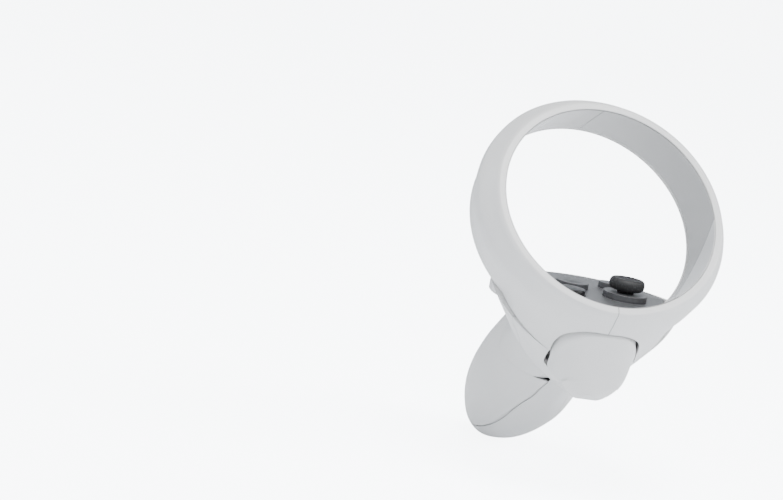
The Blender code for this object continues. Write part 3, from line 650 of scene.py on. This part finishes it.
def front_housing():
    housing = Shape(body_solid("housing"), RING)
    housing.keep(prism("front_region", below_seam(24.0, 121.0, -GAP / 2), -50, 50), RING)
    housing.cut(body_hollow(), RING)
    slot = [(OPENING_WIDTH, 20.0), (OPENING_WIDTH, 31.5), (TRIGGER_WIDTH - 1.6, 34.8),
            (1.6 - TRIGGER_WIDTH, 34.8), (-OPENING_WIDTH, 31.5), (-OPENING_WIDTH, 20.0)]
    slot = slot[:1] + rounded_side(slot) + slot[-1:]
    housing.cut(prism("trigger_slot", slot, -60, -37, axis="y"), RING)
    handle = RING @ Matrix.Translation(Vector((-3.4, 0, 50.0)) * MM) @ Matrix.Rotation(math.radians(6.9), 4, "Y")
    housing.cut(box("strap_notch", (-2.5, -34.0, 60.6), (2.5, -16.0, 72.0)), handle)
    housing.finish("front_housing_fine", WHITE.material, "controller", ["front_housing"])


def battery_cover():
    cover = Shape(body_solid("cover", start=50.0), RING)
    cover.keep(prism("cover_region", above_seam(COVER_SPLIT + GAP, 121.0, GAP / 2), -50, 50), RING)
    cover.cut(grip_pocket(), RING)
    cover.cut(body_hollow(), RING)
    cover.finish("battery_cover_fine", WHITE.material, "battery_cover", ["battery_cover"])


# ---------------------------------------------------------------- control plate
def face_plate():
    edge = ((0.0, -PLATE_THICK), (PLATE_RADIUS, -PLATE_THICK), (PLATE_RADIUS, -0.25), (PLATE_RADIUS - 0.1, -0.08),
            (PLATE_RADIUS - 0.3, 0.0), (0.0, 0.0))
    plate = Shape(turned("plate", edge, sides=200), PLATE)
    sections = []
    for w in (-12.0, 60.0):
        radius = bore_radius(w) - 0.35
        sections.append([ring_point(2 * math.pi * i / 200, radius, w, BORE_RISE * w) for i in range(200)])
    plate.keep(loft("ring_bore", sections), RING)
    plate.cut(box("rim_front", (-60, -70, -60), (60, 60, 0.35)), RING)
    for x, y in BOSSES:
        post = turned("boss", rod(2.3, -BOARD_DEPTH + GAP, -PLATE_THICK + 0.5), at=(x, y, 0.0), sides=32)
        plate.add(post, PLATE)
        bore = turned("bore", rod(1.35, -BOARD_DEPTH - 1, -PLATE_THICK - 0.5), at=(x, y, 0.0), sides=32)
        plate.cut(bore, PLATE)
    ease = 0.35
    holes = [(STICK_AT, STICK_HOLE), (UPPER_BUTTON_AT, BUTTON_RADIUS + ease),
             (LOWER_BUTTON_AT, BUTTON_RADIUS + ease), (MENU_BUTTON_AT, MENU_RADIUS + ease)]
    for (x, y), radius in holes:
        wide = radius + ease
        hole = ((0.0, -5.0), (radius, -5.0), (radius, -ease), (wide, 0.01), (wide, 2.0), (0.0, 2.0))
        plate.cut(turned("hole", hole, at=(x, y, 0.0), sides=96), PLATE)
    plate.finish("face_plate_fine", PLATE_LOOK.material, "controller", ["face_plate"])


def button(name, at, radius, height):
    """Button with a flange under the plate, a rounded edge and a slightly crowned top."""
    profile = [(0.0, -3.6), (radius + 0.9, -3.6), (radius + 0.9, -2.9), (radius, -2.9), (radius, height - 0.9)]
    for step in range(1, 10):
        angle = math.radians(step * 10)
        profile.append((radius - 0.6 + 0.6 * math.cos(angle), height - 0.9 + 0.6 * math.sin(angle)))
    for share in (0.75, 0.5, 0.25):
        profile.append(((radius - 0.6) * share, height - 0.3 + 0.3 * (1 - share * share)))
    profile.append((0.0, height))
    mesh = turned(name, profile, at=(*at, 0.0), sides=96)
    mesh.transform(PLATE)
    show(f"{name}_fine", mesh, GLOSS.material, name, [name])


def thumbstick():
    """Cap with a dished, knurled rim, and the bladed socket round its stem."""
    x, y = STICK_AT
    top = CAP_RADIUS
    profile = [(0.0, -2.4), (1.7, -2.4), (1.7, -0.8), (2.7, 0.1), (2.75, 2.2), (3.0, 2.7), (3.6, 2.95),
               (5.0, 3.1), (top - 0.35, 3.55), (top - 0.08, 4.05), (top, 4.7), (top, 5.3), (top - 0.12, 5.9),
               (top - 0.4, 6.45), (top - 0.9, 6.8), (top - 1.4, 6.88), (top - 2.0, 6.75), (3.0, 6.5),
               (1.5, 6.35), (0.0, 6.3)]

    def knurl(angle, radius, height):
        if radius > top - 0.45 and 3.8 < height < 6.2:
            return -0.1 + 0.1 * abs(math.cos(angle * 24))
        return 0.0

    mesh = turned("cap", profile, at=(x, y, 0.0), sides=288, wave=knurl)
    mesh.transform(PLATE)
    show("stick_cap_fine", mesh, RUBBER.material, "stick", ["stick_cap"])

    def blades(angle, radius, height):
        if radius < 5.4:
            return 0.75 * abs(math.cos(angle * 4)) ** 3
        return 0.0

    cup = [(6.7, -1.9), (6.7, -0.5), (6.5, -0.24), (6.2, -0.24), (4.9, -0.95), (4.3, -1.5), (4.1, -1.9)]
    mesh = turned("socket", cup, at=(x, y, 0.0), sides=256, wave=blades)
    mesh.transform(PLATE)
    show("stick_socket", mesh, SOCKET.material, "controller")


# ---------------------------------------------------------------- trigger
def trigger_section(v, inset):
    front = smooth([(-row[0], row[1]) for row in TRIGGER_FRONT], 1, -v) + inset
    down = min(max((-v - 42.0) / (12.5 - inset), 0.0), 0.9995)
    half = (TRIGGER_WIDTH - inset) * (1 - down ** 2.1) ** (1 / 2.1)
    depth = min(15.5, 6.0 + half)
    back = max(front + 2.0, min(29.9, front + depth) if v > -51 else front + 3.0)
    outline = trigger_plan(half, front, min(front + depth, back), 2.5 - 0.6 * down, 48)
    return [(x, v, w) for x, w in outline + [(half, back + 0.2), (-half, back + 0.2)]]


def trigger():
    levels = [-39.0, -39.8] + list(np.arange(-40.6, -53.2, -0.55)) + [-53.5, -53.8, -54.05, -54.2]
    blade = Shape(loft("trigger", [trigger_section(float(v), 0.0) for v in levels]), RING)
    room = []
    for level in (-36.0, -40.5, -42.3, -44.0, -45.7, -47.3, -48.9):
        outline = trigger_section(level, 2.2)
        room.append(outline[:-2] + [(x, v, w + 9.0) for x, v, w in outline[-2:]])
    blade.cut(loft("trigger_room", room), RING)
    v, w = TRIGGER_PIN
    for side in (-1, 1):
        low, high = sorted((side * 8.9, side * 11.1))
        blade.add(box("ear", (low, v - 3.2, w - 3.0), (high, v + 2.4, w + 3.0)), RING)
    blade.cut(turned("pin_bore", rod(1.4, -20, 20), at=(0.0, v, w), axis="x", sides=40), RING)
    blade.finish("trigger_fine", WHITE.material, "trigger", ["trigger"])


# ---------------------------------------------------------------- grip button
def grip_button():
    base, tip = (Vector(point) for point in GRIP_HINGE)
    along = (tip - base).normalized()
    swing = Matrix.Translation(base * MM) @ Matrix.Rotation(GRIP_STAND, 4, along) @ Matrix.Translation(-base * MM)
    outline = [GRIP[0], GRIP[1]] + rounded_side(list(GRIP[1:]) + [GRIP[0]])
    cap = Shape(prism("grip", outline, 2.6, 40.0), RING)
    cap.keep(body_solid("grip_skin"), RING @ swing)
    room = Shape(prism("grip_room", grown(outline, -1.9), 0.0, 40.0), RING)
    room.keep(body_solid("grip_inside", 2.0), RING @ swing)
    cap.cut(room.obj.data, room.obj.matrix_world)
    bpy.data.objects.remove(room.obj)
    cap.cut(body_solid("grip_depth", 5.4), RING @ swing)
    side = along.orthogonal().normalized()
    turn = Matrix((side, along.cross(side), along)).transposed().to_4x4()
    hinge = RING @ Matrix.Translation(base * MM) @ turn
    cap.add(turned("grip_barrel", rod(2.0, 4.0, 18.0), sides=40), hinge)
    cap.cut(turned("grip_bore", rod(1.25, -30, 60), sides=40), hinge)
    cap.finish("grip_button_fine", WHITE.material, "grip", ["grip_button"])


# ---------------------------------------------------------------- stage, light and camera
def stage():
    """Pale floor and backdrop. They glow for the camera, and only faintly on the object."""
    floor = bpy.data.materials.new("floor_pale")
    floor.use_nodes = True
    nodes, links = floor.node_tree.nodes, floor.node_tree.links
    shader = nodes["Principled BSDF"]
    shader.inputs["Base Color"].default_value = COOL_WHITE
    shader.inputs["Emission Color"].default_value = GLOW_COLOUR
    shader.inputs["Roughness"].default_value = 0.9
    rays = nodes.new("ShaderNodeLightPath")
    glow = nodes.new("ShaderNodeMapRange")
    glow.inputs["To Min"].default_value = GLOW_ON_OBJECT
    glow.inputs["To Max"].default_value = GLOW_FOR_CAMERA
    links.new(rays.outputs["Is Camera Ray"], glow.inputs["Value"])
    links.new(glow.outputs[0], shader.inputs["Emission Strength"])
    wall = FLOOR_RADIUS + BEND_RADIUS
    profile = [(0.0, FLOOR_LEVEL), (FLOOR_RADIUS, FLOOR_LEVEL)]
    for step in range(1, BEND_STEPS + 1):
        angle = math.pi / 2 * step / BEND_STEPS
        profile.append((FLOOR_RADIUS + BEND_RADIUS * math.sin(angle), BEND_RADIUS * (1 - math.cos(angle))))
    profile += [(wall, BACKDROP_HEIGHT), (wall + BACKDROP_THICK, BACKDROP_HEIGHT),
                (wall + BACKDROP_THICK, BACKDROP_UNDERSIDE), (0.0, BACKDROP_UNDERSIDE)]
    mesh = turned("cove", profile, sides=72)
    mesh.shade_smooth()
    mesh.materials.append(floor)
    cove = bpy.data.objects.new("cove", mesh)
    bpy.context.scene.collection.objects.link(cove)


def lamp(name, place, size, power, target=(0.0, 0.0, 0.06)):
    """A round soft light at a place in metres, aimed at the object's middle."""
    light = bpy.data.lights.new(name, "AREA")
    light.shape = "DISK"
    light.size = size
    light.energy = power
    obj = bpy.data.objects.new(name, light)
    bpy.context.scene.collection.objects.link(obj)
    obj.location = place
    obj.rotation_euler = (Vector(target) - Vector(place)).to_track_quat("-Z", "Y").to_euler()


def light_and_camera():
    world = bpy.data.worlds.new("soft_world")
    bpy.context.scene.world = world
    world.use_nodes = True
    background = world.node_tree.nodes["Background"]
    background.inputs["Color"].default_value = COOL_WHITE
    background.inputs["Strength"].default_value = 0.2
    lamp("top", (0.1, 0.5, 1.7), 0.8, 44.0)
    lamp("right", (-1.6, 0.7, 0.9), 1.0, 34.0)
    lamp("left", (1.3, 1.5, 1.3), 0.9, 10.0)
    data = bpy.data.cameras.new("camera")
    data.lens = CAMERA_LENS
    data.sensor_width = 36.0
    data.clip_end = 50.0
    camera = bpy.data.objects.new("camera", data)
    bpy.context.scene.collection.objects.link(camera)
    camera.location = [(a + b) * MM for a, b in zip(RING_CENTRE, CAMERA_FROM_RING)]
    camera.rotation_euler = Euler([math.radians(angle) for angle in CAMERA_TURN])
    bpy.context.scene.camera = camera


dress_frame()
stage()
ring_shell()
ring_inner_band()
head_shell()
front_housing()
battery_cover()
face_plate()
button("upper_button", UPPER_BUTTON_AT, BUTTON_RADIUS, 2.2)
button("lower_button", LOWER_BUTTON_AT, BUTTON_RADIUS, 2.2)
button("menu_button", MENU_BUTTON_AT, MENU_RADIUS, 0.7)
thumbstick()
trigger()
grip_button()
light_and_camera()
